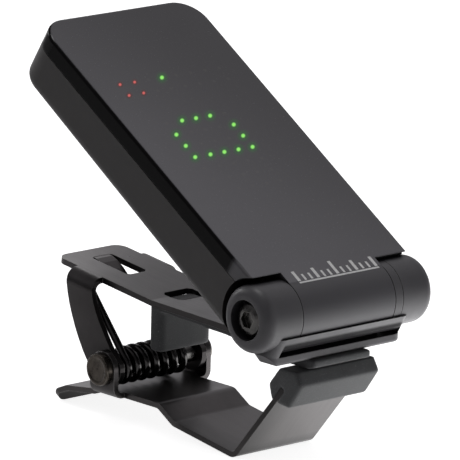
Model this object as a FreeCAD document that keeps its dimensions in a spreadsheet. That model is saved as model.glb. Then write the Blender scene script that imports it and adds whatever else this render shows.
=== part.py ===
import FreeCAD, Part
import math
import os
import Sketcher
from FreeCAD import Placement, Rotation, Vector

# Clip-on tuner: a display head on a friction hinge, carried by a spring clip of bent sheet steel.
# Millimetres, +Z up, X along the hinge barrel, left is -X. Every piece is drawn in one of three frames:
#   clip: origin on the hinge axis, y to the rear, z up
#   head: the clip frame turned about X by head_angle, so y runs up the display face and z out of it
#   pin:  the clip frame moved to the axis of the pivot pin
# Sketch coordinates (u, v) are (x, y) on XY, (x, z) on XZ and (y, z) on YZ.
# Sweeps run along +z from XY, along -y from XZ and along +x from YZ.

doc = FreeCAD.newDocument("clip_on_tuner")
sheet = doc.addObject("Spreadsheet::Sheet", "dims")
SIZE = {}   # alias: value, as held by the spreadsheet
NODES = []  # the pieces to export


# ---------------------------------------------------------------- driving dimensions
def cell(alias, value):
    """One driving dimension: its name in column A, the plain number in column B."""
    row = len(SIZE) + 1
    sheet.set("A%d" % row, alias.replace("_", " "))
    sheet.set("B%d" % row, "%.4f" % value)
    sheet.setAlias("B%d" % row, alias)
    SIZE[alias] = float("%.4f" % value)
    return alias


def define(**dimensions):
    for alias, value in dimensions.items():
        cell(alias, value)


def series(prefix, values):
    """Numbered cells; returns their aliases."""
    return [cell("%s_%d" % (prefix, i + 1), value) for i, value in enumerate(values)]


def driven(value, name):
    """Value and formula of "alias" or "-alias"; a plain number first gets a cell called name."""
    if not isinstance(value, str):
        value = cell(name, value)
    alias = value.lstrip("-")
    if value == alias:
        return SIZE[alias], "dims." + alias
    return -SIZE[alias], "-dims." + alias


# Origin of the clip frame, and the display face above the horizontal in degrees
define(shift_x=-0.225, shift_y=-22.85, shift_z=23.143, head_angle=31.79)

# Head: outline, then levels along its z
define(
    head_half=14.5, head_top=56.4, head_corner=4.3,
    face_height=4.8,    # equal to the barrel radius
    lens_back=3.6,
    cover_bottom=2.3,   # parting line, cover side
    case_top=2.2,       # parting line, case side
    case_floor=-3.05,
    door_seat_floor=-3.62,
    case_back=-5.22,
    case_outside=-6.0,  # clear of the back, where the cuts from behind begin
)

# Coin cell and the round battery door over it
define(cell_radius=10.0, cell_y=26.0, door_radius=12.0, spigot_radius=10.9)
define(door_outer=-4.4, door_inner=-3.65)
DOOR_GAP = 0.1       # radial, round the disc and the spigot
DOOR_TAB_GAP = 0.05  # round the tab
DOOR_TAB = dict(half=3.0, low=30.0, high=42.0, corner=0.85)

# Hinge, along X unless a radius
define(
    barrel_radius=4.8, barrel_left=-8.98, barrel_right=8.28,
    past_left=-9.1, past_right=8.4,     # just beyond the barrel ends
    scoop_radius=5.7, scoop_right=5.41, # radii cleared in the head round the bracket
    bolt_bore=1.56, bracket_clearance=4.9,
    bracket_left=-13.3, bracket_right=11.9,
    ear_face=-9.08, ring_face=8.38, ring_outer=9.75,
)

# Clip
define(
    sheet_upper=0.85, sheet_lower=0.8, upper_half=6.0, lower_half=7.2,
    arm_half=8.2, arm_bottom=-17.5, ear_half=9.2, ear_top=-12.85, tip_half=6.4,
    pin_y=36.45, pin_z=-15.4, pin_radius=1.2,
    wire_radius=0.55, coil_radius=2.2, coil_left=-6.4, coil_right=4.6, coil_turns=6.0,
)

# (x, y) places
CASE_SCREWS = [(-11.0, 12.0), (11.0, 12.0), (-11.0, 50.6), (11.0, 50.6)]
DOOR_SCREW = (0.0, 40.0)
BUTTON = (5.5, 47.5)
PIEZO = (-4.6, 47.0)
BRACKET_SCREWS = [(-4.0, 2.8), (4.0, 2.8)]


# ---------------------------------------------------------------- outlines
def discs(*radii):
    """Concentric circles on the origin."""
    return [(0.0, 0.0, radius) for radius in radii]


def circles(places, radius):
    return [(u, v, radius) for u, v in places]


def box_loop(u0, v0, u1, v1):
    return [(u0, v0), (u1, v0), (u1, v1), (u0, v1)]


def square_loop(centre, half):
    u, v = centre
    return box_loop(u - half, v - half, u + half, v + half)


def arc(centre_u, centre_v, radius, start, end, count):
    """Points of an arc in count equal steps, angles in degrees."""
    angles = [math.radians(start + (end - start) * i / count) for i in range(count + 1)]
    return [(centre_u + radius * math.cos(a), centre_v + radius * math.sin(a)) for a in angles]


def hex_loop(radius):
    return arc(0.0, 0.0, radius, 0, 300, 5)


def tongue_loop(half, low, high, corner):
    """A rectangle with its two far corners rounded."""
    return ([(-half, low), (half, low)]
            + arc(half - corner, high - corner, corner, 0, 90, 6)
            + arc(corner - half, high - corner, corner, 90, 180, 6))


def tab_loop(half, low, high, corner):
    """A rectangle with its two far corners cut at 45 degrees."""
    return [(-half, low), (half, low), (half, high - corner), (half - corner, high),
            (corner - half, high), (-half, high - corner)]


def window_loop(half, low, high, corner):
    """A rectangle with all four corners cut at 45 degrees."""
    near = [(-half, low + corner), (corner - half, low), (half - corner, low), (half, low + corner)]
    return near + tab_loop(half, low, high, corner)[2:]


def cross_loop(centre, arm=0.9, half=0.15):
    """The cross recess of a screw head."""
    steps = [(-arm, -half), (-half, -half), (-half, -arm), (half, -arm), (half, -half), (arm, -half)]
    steps += [(-u, -v) for u, v in steps]
    return [(centre[0] + u, centre[1] + v) for u, v in steps]


def channel_loop(half, inner_half, web, inner_web, open_end):
    """A U section, symmetrical about v: outer width and web, inner width and web, ends of the legs."""
    return [(-half, web), (half, web), (half, open_end), (inner_half, open_end),
            (inner_half, inner_web), (-inner_half, inner_web), (-inner_half, open_end), (-half, open_end)]


def direction(start, end):
    du, dv = end[0] - start[0], end[1] - start[1]
    length = math.hypot(du, dv)
    return du / length, dv / length


def ribbon(points, thickness):
    """Left and right sides of a bent strip of even thickness about a centre line."""
    left, right = [], []
    last = len(points) - 1
    for i, (u, v) in enumerate(points):
        before = direction(points[i - 1], points[i]) if i else direction(points[0], points[1])
        after = direction(points[i], points[i + 1]) if i < last else before
        miter_u, miter_v = direction((0, 0), (-(before[1] + after[1]), before[0] + after[0]))
        reach = thickness / 2 / (miter_v * before[0] - miter_u * before[1])
        left.append((u + miter_u * reach, v + miter_v * reach))
        right.append((u - miter_u * reach, v - miter_v * reach))
    return left, right


def strip_loop(points, thickness):
    left, right = ribbon(points, thickness)
    return left + right[::-1]


def both_sides(x, *places):
    """Each (y, z) place at -x and at x."""
    return [(side, y, z) for side in (-x, x) for y, z in places]


# ---------------------------------------------------------------- modelling
def place(node, frame):
    """Puts a node in the clip, head or pin frame and lists it for export."""
    terms = {axis: ["shift_" + axis] for axis in "xyz"}
    if frame == "pin":
        terms["y"].append("pin_y")
        terms["z"].append("pin_z")
    base = Vector(*[sum(SIZE[alias] for alias in terms[axis]) for axis in "xyz"])
    angle = SIZE["head_angle"] if frame == "head" else 0.0
    node.Placement = Placement(base, Rotation(Vector(1, 0, 0), angle))
    for axis, aliases in terms.items():
        node.setExpression("Placement.Base." + axis, " + ".join("dims." + a for a in aliases))
    NODES.append(node)


def new_body(label, frame):
    body = doc.addObject("PartDesign::Body", label)
    body.Label = label
    place(body, frame)
    return body


def drive(sk, name, formula, *constraint):
    """Adds a named constraint and ties it to the spreadsheet."""
    index = sk.addConstraint(Sketcher.Constraint(*constraint))
    sk.renameConstraint(index, name)
    sk.setExpression("Constraints." + name, formula)


def hold(sk, geo, point, u, v, tag):
    """Holds a sketch point at u and v, each a (value, formula) pair."""
    drive(sk, "u_" + tag, u[1], "DistanceX", -1, 1, geo, point, u[0])
    drive(sk, "v_" + tag, v[1], "DistanceY", -1, 1, geo, point, v[0])


def sketch(body, plane, name, loops, base=None, tilt=0.0, lift=0.0):
    """A sketch on an origin plane of its own body, every point bound to the sheet.
    Loops are lists of (u, v) points, or (centre u, centre v, radius) circles.
    base is the (value, formula) of its distance from the plane."""
    sk = body.newObject("Sketcher::SketchObject", name)
    support = [o for o in body.Origin.OriginFeatures if o.Role == plane + "_Plane"][0]
    sk.AttachmentSupport = (support, [""])
    sk.MapMode = "FlatFace"
    if base:
        sk.AttachmentOffset = Placement(Vector(0, lift, base[0]), Rotation(Vector(1, 0, 0), tilt))
        sk.setExpression("AttachmentOffset.Base.z", base[1])
    for k, loop in enumerate(loops, 1):
        tag = "%s_%d" % (name, k)
        if isinstance(loop, tuple):
            u, v, radius = [driven(x, tag + end) for x, end in zip(loop, ("_u", "_v", "_rad"))]
            circle = Part.Circle(Vector(u[0], v[0], 0), Vector(0, 0, 1), radius[0])
            geo = sk.addGeometry(circle, False)
            drive(sk, "rad_%d" % k, radius[1], "Radius", geo, radius[0])
            hold(sk, geo, 3, u, v, str(k))
            continue
        corners = [
            (driven(u, "%s_%d_u" % (tag, i)), driven(v, "%s_%d_v" % (tag, i)))
            for i, (u, v) in enumerate(loop, 1)
        ]
        ends = [Vector(u[0], v[0], 0) for u, v in corners]
        lines = [
            sk.addGeometry(Part.LineSegment(start, end), False)
            for start, end in zip(ends, ends[1:] + ends[:1])
        ]
        for line, following in zip(lines, lines[1:] + lines[:1]):
            sk.addConstraint(Sketcher.Constraint("Coincident", line, 2, following, 1))
        for i, (line, (u, v)) in enumerate(zip(lines, corners), 1):
            hold(sk, line, 1, u, v, "%d_%d" % (k, i))
    return sk


def update(*objects):
    """Recomputes only what has just been added; the whole document is recomputed once at the end."""
    sheet.recompute()
    for obj in objects:
        obj.recompute()


def volume(body):
    return body.Shape.Volume if not body.Shape.isNull() else 0.0


def sweep(kind, body, plane, name, loops, low, high, **tilting):
    """Adds a Pad or a Pocket of the loops swept along the plane's normal from low to high."""
    before = volume(body)
    low = driven(low, name + "_low")
    high = driven(high, name + "_high")
    sk = sketch(body, plane, name + "_sk", loops, low, **tilting)
    feature = body.newObject("PartDesign::" + kind, name)
    feature.Profile = sk
    feature.Type = "Length"
    feature.Length = high[0] - low[0]
    feature.setExpression("Length", "%s - (%s)" % (high[1], low[1]))
    if kind == "Pocket":
        feature.Reversed = True
    body.Tip = feature
    update(sk, feature, body)
    gain = volume(body) - before
    if (kind == "Pocket" and gain > -1e-4) or (kind == "Pad" and gain < 1e-5):
        raise RuntimeError("%s on %s changed nothing" % (name, body.Label))


def add(*args, **tilting):
    sweep("Pad", *args, **tilting)


def cut(*args):
    sweep("Pocket", *args)


def revolve(body, name, points):
    """Turns an (x, radius) outline about the body's X axis."""
    sk = sketch(body, "XY", name + "_sk", [points])
    feature = body.newObject("PartDesign::Revolution", name)
    feature.Profile = sk
    feature.ReferenceAxis = (sk, ["H_Axis"])
    feature.Angle = 360.0
    body.Tip = feature
    update(sk, feature, body)


def dress(body, name, size, picks, tol=0.02, kind="Fillet"):
    """Fillets or chamfers the edges of the tip within tol of a point, or chosen by a function."""
    def picked(edge, pick):
        if callable(pick):
            return pick(edge)
        return edge.distToShape(Part.Vertex(Vector(*pick)))[0] < tol

    base = body.Tip
    edges = [
        "Edge%d" % i for i, edge in enumerate(base.Shape.Edges, 1)
        if any(picked(edge, pick) for pick in picks)
    ]
    if not edges:
        raise RuntimeError("%s on %s found no edge" % (name, body.Label))
    before = volume(body)
    feature = body.newObject("PartDesign::" + kind, name)
    feature.Base = (base, edges)
    prop = {"Fillet": "Radius", "Chamfer": "Size"}[kind]
    value, formula = driven(size, name + "_size")
    setattr(feature, prop, value)
    feature.setExpression(prop, formula)
    body.Tip = feature
    update(feature, body)
    failed = "Invalid" in feature.State or "Error" in feature.State or body.Shape.isNull()
    if failed or abs(volume(body) - before) < 1e-7:
        raise RuntimeError("%s on %s failed: %s" % (name, body.Label, feature.State))


# ---------------------------------------------------------------- head: shell
def front_cover():
    """Face plate with the hinge barrel and its neck, hollowed from behind."""
    body = new_body("front_cover", "head")
    half, top, face = SIZE["head_half"], SIZE["head_top"], SIZE["face_height"]
    inset = SIZE["head_corner"] * (1 - math.sqrt(0.5))  # middle of a corner arc from both sides
    outline = box_loop("-head_half", 0.0, "head_half", "head_top")
    add(body, "XY", "cover_plate", [outline], "cover_bottom", "face_height")
    dress(body, "cover_corner", "head_corner", both_sides(half, (top, 3.5)))
    cut(body, "YZ", "cover_scoop_left", discs("scoop_radius"), -14.6, "barrel_left")
    cut(body, "YZ", "cover_scoop_right", discs("scoop_right"), "barrel_right", 14.6)
    rim = both_sides(half, (30.0, face)) + both_sides(half - inset, (top - inset, face))
    dress(body, "cover_face_edge", 0.45, rim + [(0.0, top, face)])
    cut(body, "XY", "cover_hollow", [tongue_loop(13.2, 7.7, 54.9, 4.7)], 2.2, "lens_back")
    add(body, "YZ", "cover_barrel", discs("barrel_radius"), "barrel_left", "barrel_right")
    neck = [(0.0, 0.0), (0.0, "face_height"), (7.2, "face_height"), (7.2, -1.0), (3.9, -2.6)]
    add(body, "YZ", "cover_neck", [neck], "barrel_left", "barrel_right")
    add(body, "XY", "cover_bosses", circles(CASE_SCREWS, 1.5), -0.9, 3.7)
    cut(body, "XY", "cover_boss_holes", circles(CASE_SCREWS, 0.72), -1.0, 2.7)
    cut(body, "YZ", "cover_bore", discs(2.5), "past_left", "past_right")
    cut(body, "YZ", "cover_recess_left", discs(3.8), "past_left", -8.48)
    cut(body, "YZ", "cover_recess_right", discs(3.8), 7.78, "past_right")


def back_level(y):
    """Height of the slanting back of the case."""
    return -5.2 + 0.0175 * y


def is_back_rim(edge):
    """An edge that lies in the slanting back, beyond the hinge end."""
    mid = edge.valueAt((edge.FirstParameter + edge.LastParameter) / 2)
    points = [mid] + [vertex.Point for vertex in edge.Vertexes]
    return mid.y >= 2.5 and all(abs(p.z - back_level(p.y)) <= 0.06 for p in points)


def rear_case():
    """Open tray with a slanting back, seats for door and screws, and a hole for the button."""
    body = new_body("rear_case", "head")
    outline = box_loop("-head_half", 2.0, "head_half", "head_top")
    add(body, "XY", "case_block", [outline], "case_back", "case_top")
    dress(body, "case_corner", "head_corner", both_sides(SIZE["head_half"], (SIZE["head_top"], 0.0)))
    wedge = [(-1.0, -7.0), (58.0, -7.0), (58.0, back_level(58.0)), (-1.0, back_level(-1.0))]
    cut(body, "YZ", "case_wedge", [wedge], -15.0, 15.0)
    dress(body, "case_back_edge", 1.6, [is_back_rim])
    cut(body, "YZ", "case_scoop", discs("scoop_radius"), -15.0, 15.0)
    cut(body, "XY", "case_hollow", [tongue_loop(13.1, 8.4, 54.8, 4.6)], "case_floor", 2.4)
    gap = [(3.0, 2.4), (7.3, 2.4), (7.3, -1.1), (3.9, -2.9), (3.0, -2.9)]
    cut(body, "YZ", "case_neck_gap", [gap], "past_left", "past_right")
    add(body, "XY", "case_bosses", circles(CASE_SCREWS, 1.9), -3.3, -1.0)
    add(body, "XY", "case_door_boss", circles([DOOR_SCREW], 1.7), -3.3, 0.6)
    tab_seat = tab_loop(
        DOOR_TAB["half"] + DOOR_TAB_GAP, DOOR_TAB["low"],
        DOOR_TAB["high"] + DOOR_TAB_GAP, DOOR_TAB["corner"])
    cut(body, "XY", "case_door_tab_seat", [tab_seat], "case_outside", "door_seat_floor")
    seat = (0.0, "cell_y", SIZE["door_radius"] + DOOR_GAP)
    cut(body, "XY", "case_door_seat", [seat], "case_outside", "door_seat_floor")
    opening = (0.0, "cell_y", SIZE["spigot_radius"] + DOOR_GAP)
    cut(body, "XY", "case_door_hole", [opening], -3.8, -2.9)
    cut(body, "XY", "case_screw_seats", circles(CASE_SCREWS, 1.45), "case_outside", -3.0)
    cut(body, "XY", "case_screw_holes", circles(CASE_SCREWS, 0.85), -3.2, -0.9)
    cut(body, "XY", "case_door_pilot", circles([DOOR_SCREW], 0.78), -3.8, 0.3)
    cut(body, "XY", "case_button_hole", circles([BUTTON], 3.3), "case_outside", -2.9)


def case_screws():
    body = new_body("case_screws", "head")
    add(body, "XY", "case_screw_heads", circles(CASE_SCREWS, 1.36), -3.8, -3.02)
    add(body, "XY", "case_screw_shanks", circles(CASE_SCREWS, 0.68), -3.02, 2.3)
    cut(body, "XY", "case_screw_cross", [cross_loop(at) for at in CASE_SCREWS], -3.9, -3.4)


# ---------------------------------------------------------------- head: battery
def battery_door():
    """Disc with a screw tab on the far side, a spigot inwards and grooves outside."""
    body = new_body("battery_door", "head")
    outer, half, tab_end = SIZE["door_outer"], DOOR_TAB["half"], DOOR_TAB["high"]
    add(body, "XY", "door_disc", [(0.0, "cell_y", "door_radius")], "door_outer", "door_inner")
    add(body, "XY", "door_tab", [tab_loop(**DOOR_TAB)], "door_outer", "door_inner")
    disc_edge = (0.0, SIZE["cell_y"] - SIZE["door_radius"], outer)
    tab_edges = [(0.0, tab_end, outer)] + both_sides(half, (40.0, outer))
    dress(body, "door_rim", 0.25, [disc_edge] + tab_edges)
    add(body, "XY", "door_spigot", [(0.0, "cell_y", "spigot_radius")], -3.66, -2.25)
    first, pitch, width = 17.0, 1.5, 0.7
    starts = [first + pitch * k for k in range(4)]
    grooves = [box_loop(-6.0, start, 6.0, start + width) for start in starts]
    cut(body, "XY", "door_ribs", grooves, -4.5, -4.15)
    cut(body, "XY", "door_screw_seat", circles([DOOR_SCREW], 1.4), -4.6, -4.05)
    cut(body, "XY", "door_screw_hole", circles([DOOR_SCREW], 0.85), -4.2, -3.5)


def battery_door_screw():
    body = new_body("battery_door_screw", "head")
    add(body, "XY", "door_screw_head", circles([DOOR_SCREW], 1.32), -4.45, -4.06)
    add(body, "XY", "door_screw_shank", circles([DOOR_SCREW], 0.74), -4.06, 0.1)
    cut(body, "XY", "door_screw_cross", [cross_loop(DOOR_SCREW)], -4.6, -4.23)


def coin_cell():
    body = new_body("coin_cell", "head")
    add(body, "XY", "cell_can", [(0.0, "cell_y", "cell_radius")], -2.15, 0.9)
    dress(body, "cell_edge", 0.3, [(SIZE["cell_radius"], SIZE["cell_y"], -2.15)])
    add(body, "XY", "cell_cap", [(0.0, "cell_y", 8.8)], 0.9, 1.05)


def battery_contacts():
    """A bowed leaf and an angle, both of the same thin strip."""
    strip = 0.2
    leaf = [(12.5, 1.77), (19.0, 1.77), (24.0, 1.19), (27.0, 1.19), (29.5, 1.6)]
    negative = new_body("battery_negative_contact", "head")
    add(negative, "YZ", "negative_leaf", [strip_loop(leaf, strip)], -2.0, 2.0)
    angle = [(39.0, 1.77), (36.35, 1.77), (36.35, -1.5)]
    positive = new_body("battery_positive_contact", "head")
    add(positive, "YZ", "positive_clip", [strip_loop(angle, strip)], -3.0, 3.0)


# ---------------------------------------------------------------- head: electronics
def circuit_board():
    body = new_body("circuit_board", "head")
    outline = [(-12.3, 9.4), (12.3, 9.4), (12.3, 50.4), (8.4, 54.2), (-8.4, 54.2), (-12.3, 50.4)]
    add(body, "XY", "board_plate", [outline], 1.9, 2.7)
    cut(body, "XY", "board_notches", circles(CASE_SCREWS, 1.65), 1.8, 2.8)


# LEDs: a grid of 5 by 7, and a scale of two rows beyond it; rows run towards the hinge
GRID_COLS = series("led_col", [-7.15, -4.3, -1.7, 0.95, 3.6])
GRID_ROWS = series("led_row", [33.6, 31.2, 28.85, 26.5, 24.15, 21.8, 19.45])
CENT_COLS = series("cent_col", [-9.5, -6.8, -4.2, -1.7, 1.0, 3.7, 6.4, 9.1])
CENT_ROWS = series("cent_row", [42.2, 39.9])
define(led_wide=1.0, led_long=0.8, led_tall=0.7, led_base=2.72)

# (column, row) of the lit LEDs of the grid
LIT = {(1, 0), (2, 0), (3, 0), (0, 1), (4, 1), (0, 2), (4, 2), (0, 3), (1, 3), (2, 3), (3, 3), (4, 3)}
GRID = [(i, j) for i in range(5) for j in range(7)]
CENT_LIT = (CENT_COLS[3], CENT_ROWS[0])
CENT_REST = [(col, row) for col in CENT_COLS[2:] for row in CENT_ROWS if (col, row) != CENT_LIT]
RED = [(col, row) for col in CENT_COLS[:2] for row in CENT_ROWS]
GREEN = [(GRID_COLS[i], GRID_ROWS[j]) for i, j in GRID if (i, j) in LIT] + [CENT_LIT]
UNLIT = [(GRID_COLS[i], GRID_ROWS[j]) for i, j in GRID if (i, j) not in LIT] + CENT_REST


def led_group(label, places):
    """Surface-mount LEDs as equal boxes just above the board."""
    boxes = []
    for k, (col, row) in enumerate(places, 1):
        led = doc.addObject("Part::Box", "%s_%d" % (label, k))
        led.setExpression("Length", "dims.led_wide")
        led.setExpression("Width", "dims.led_long")
        led.setExpression("Height", "dims.led_tall")
        led.setExpression("Placement.Base.x", "dims.%s - dims.led_wide / 2" % col)
        led.setExpression("Placement.Base.y", "dims.%s - dims.led_long / 2" % row)
        led.setExpression("Placement.Base.z", "dims.led_base")
        boxes.append(led)
    group = doc.addObject("Part::Compound", label)
    group.Label = label
    group.Links = boxes
    place(group, "head")


def leds():
    led_group("red_leds", RED)
    led_group("green_leds", GREEN)
    led_group("unlit_leds", UNLIT)


def light_shield():
    """Thin sheet with a round window over each LED."""
    body = new_body("light_shield", "head")
    add(body, "XY", "shield_plate", [box_loop(-11.5, 17.5, 11.5, 44.2)], 3.44, 3.56)
    cut(body, "XY", "shield_windows", circles(RED + GREEN + UNLIT, 0.42), 3.3, 3.7)


def controller_chip():
    body = new_body("controller_chip", "head")
    half, centre_y, outer = 2.5, 44.7, 1.0
    add(body, "XY", "chip_body", [square_loop((0.0, centre_y), half)], outer, 1.86)
    ends = [(0.0, centre_y - half, outer), (0.0, centre_y + half, outer)]
    dress(body, "chip_edge", 0.15, ends + both_sides(half, (44.0, outer)), kind="Chamfer")


def power_switch():
    body = new_body("power_switch", "head")
    add(body, "XY", "switch_body", [square_loop(BUTTON, 2.2)], 0.35, 1.86)
    add(body, "XY", "switch_plunger", circles([BUTTON], 1.0), -0.75, 0.4)


def power_button():
    body = new_body("power_button", "head")
    radius, outer = 3.2, -4.95
    add(body, "XY", "button_cap", circles([BUTTON], radius), outer, -2.95)
    dress(body, "button_edge", 0.4, [(BUTTON[0] + radius, BUTTON[1], outer)])
    add(body, "XY", "button_flange", circles([BUTTON], 3.8), -3.0, -2.55)
    add(body, "XY", "button_stem", circles([BUTTON], 1.2), -2.6, -1.25)


def piezo():
    """Brass-and-ceramic disc stack on the case floor, and its two wires."""
    sensor = new_body("piezo_sensor", "head")
    add(sensor, "XY", "piezo_plate", circles([PIEZO], 5.0), -3.03, -2.83)
    add(sensor, "XY", "piezo_ceramic", circles([PIEZO], 3.6), -2.83, -2.63)
    wires = new_body("piezo_leads", "head")
    add(wires, "XY", "leads_wires", circles([(-4.9, 44.4), (-3.9, 44.4)], 0.25), -2.6, 1.88)


# ---------------------------------------------------------------- hinge
def hinge_bush():
    body = new_body("hinge_bush", "head")
    add(body, "YZ", "bush_tube", discs(2.47, "bolt_bore"), -8.45, 7.75)


def hinge_bracket():
    """Saddle below the barrel, with a domed ear on its left and a ring on its right."""
    body = new_body("hinge_bracket", "clip")
    # (y, z) section of the base
    section = [(-4.45, -2.45), (-3.6, -3.75), (-2.65, -5.4), (-2.65, -6.6), (4.6, -6.6),
               (4.6, -5.0), (3.6, -4.85), (3.1, -4.5), (2.8, -3.7), (-4.0, -2.45)]
    add(body, "YZ", "bracket_base", [section], "bracket_left", "bracket_right")
    front_edges = [(-2.65, -6.0), (-3.125, -4.575), (-4.025, -3.1)]
    ends = [(SIZE[end], y, z) for end in ("bracket_left", "bracket_right") for y, z in front_edges]
    dress(body, "bracket_ends", 1.6, ends, tol=0.05)
    dress(body, "bracket_under_front", 0.45, [(0.0, -2.65, -6.6)])
    under_left = [(-14.0, -4.45), (-10.9, -7.2), (-14.0, -7.2)]
    cut(body, "XZ", "bracket_under_left", [under_left], -6.0, 5.0)
    corners = [
        [(side * x, y) for x, y in ((14.0, 0.0), (8.4, 2.4), (8.4, 6.0), (14.0, 6.0))]
        for side in (-1, 1)
    ]
    cut(body, "XY", "bracket_rear_corners", corners, -7.2, -2.0)
    cut(body, "YZ", "bracket_clear", discs("bracket_clearance"), "ear_face", "ring_face")
    cut(body, "YZ", "bracket_clear_cap", discs("bracket_clearance"), "ring_outer", 12.5)
    dome = arc(-13.9, 3.2, 1.6, 90, 180, 10)
    ear = [("ear_face", 0.0), ("ear_face", "barrel_radius")] + dome + [(-15.5, 0.0)]
    revolve(body, "bracket_ear", ear)
    add(body, "YZ", "bracket_ring", discs("barrel_radius"), "ring_face", "ring_outer")
    add(body, "YZ", "bracket_spigot", discs(4.0), 9.7, 10.55)
    recess = [(-5.0, -5.4), (-1.2, -5.4), (-1.2, -5.2), (-2.2, -4.86), (-3.0, -4.42),
              (-3.5, -4.0), (-5.0, -3.75)]
    cut(body, "YZ", "bracket_recess", [recess], -11.5, 11.1)
    cut(body, "YZ", "bracket_recess_deep", [box_loop(-1.3, -5.4, 2.0, -4.2)], 9.9, 11.1)
    cut(body, "YZ", "bracket_recess_mid", [box_loop(-1.3, -5.4, 1.6, -4.9)], "ring_face", 10.0)
    # slot for the end of the upper jaw plate
    cut(body, "YZ", "bracket_slot", [box_loop(0.2, -6.33, 6.0, -5.22)], -6.06, 6.06)
    cut(body, "XY", "bracket_screw_seats", circles(BRACKET_SCREWS, 1.45), -7.1, -6.3)
    cut(body, "XY", "bracket_screw_pilots", circles(BRACKET_SCREWS, 0.8), -5.3, -4.9)
    cut(body, "YZ", "bracket_counterbore", discs(2.85), -15.6, -13.85)
    cut(body, "YZ", "bracket_bore_left", discs("bolt_bore"), -14.0, -9.0)
    cut(body, "YZ", "bracket_bore_right", discs("bolt_bore"), 8.3, 10.6)


def hinge_screw():
    """Long screw along the hinge axis, head to the left."""
    body = new_body("hinge_screw", "clip")
    # (x, radius)
    outline = [
        (-15.2, 0.0), (-15.17, 0.9), (-15.02, 1.6), (-14.8, 2.1), (-14.5, 2.38), (-14.2, 2.45),
        (-13.88, 2.45), (-13.88, 1.5), (12.8, 1.5), (13.0, 1.3), (13.0, 0.0)]
    revolve(body, "hinge_screw_turned", outline)
    cut(body, "YZ", "hinge_screw_socket", [hex_loop(1.25)], -15.3, -14.35)


def friction_washers():
    body = new_body("friction_washers", "clip")
    add(body, "YZ", "washer_left", discs(3.6, 1.6), -9.05, -8.52)
    add(body, "YZ", "washer_right", discs(3.6, 1.6), 7.82, 8.35)


def hinge_nut():
    body = new_body("hinge_nut", "clip")
    add(body, "YZ", "nut_hex", [hex_loop(3.0)] + discs(1.53), 10.57, 12.5)


def hinge_end_cap():
    """Cap over the nut, on the bracket's spigot."""
    body = new_body("hinge_end_cap", "clip")
    end = 15.95
    add(body, "YZ", "cap_body", discs("barrel_radius"), 9.83, end)
    dress(body, "cap_edge", 1.7, [(end, 0.0, SIZE["barrel_radius"])])
    cut(body, "YZ", "cap_socket", discs(4.02), 9.8, 10.6)
    cut(body, "YZ", "cap_hollow", discs(3.3), 10.5, 13.9)


def bracket_screws():
    body = new_body("bracket_screws", "clip")
    add(body, "XY", "bracket_screw_heads", circles(BRACKET_SCREWS, 1.36), -6.57, -6.24)
    add(body, "XY", "bracket_screw_shanks", circles(BRACKET_SCREWS, 0.76), -6.24, -4.95)


# ---------------------------------------------------------------- clip: upper jaw
# (y, z) edges of the two arms, downwards from above the plate
ARM_REAR_EDGE = [
    (45.75, 1.0), (45.75, -3.4), (45.62, -4.7), (45.35, -6.1), (44.95, -7.6), (44.35, -9.2),
    (43.6, -10.9), (42.75, -12.5), (41.75, -14.1), (40.7, -15.5), (39.9, -16.35)]
ARM_FRONT_EDGE = [
    (40.3, 1.0), (40.3, -4.6), (40.12, -5.5), (39.75, -6.7), (39.2, -7.9), (38.5, -9.1),
    (37.75, -10.2), (36.9, -11.4), (35.9, -12.75)]
# (y, z) centre lines of the strip and of the tongue bent down at its rear window
UPPER_STRIP = [(50.45, -2.486), (30.0, -4.975), (0.3, -5.825)]
UPPER_TONGUE = [(47.9, -2.80), (47.0, -2.92), (45.9, -3.3), (44.6, -4.1), (43.4, -5.1)]


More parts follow.
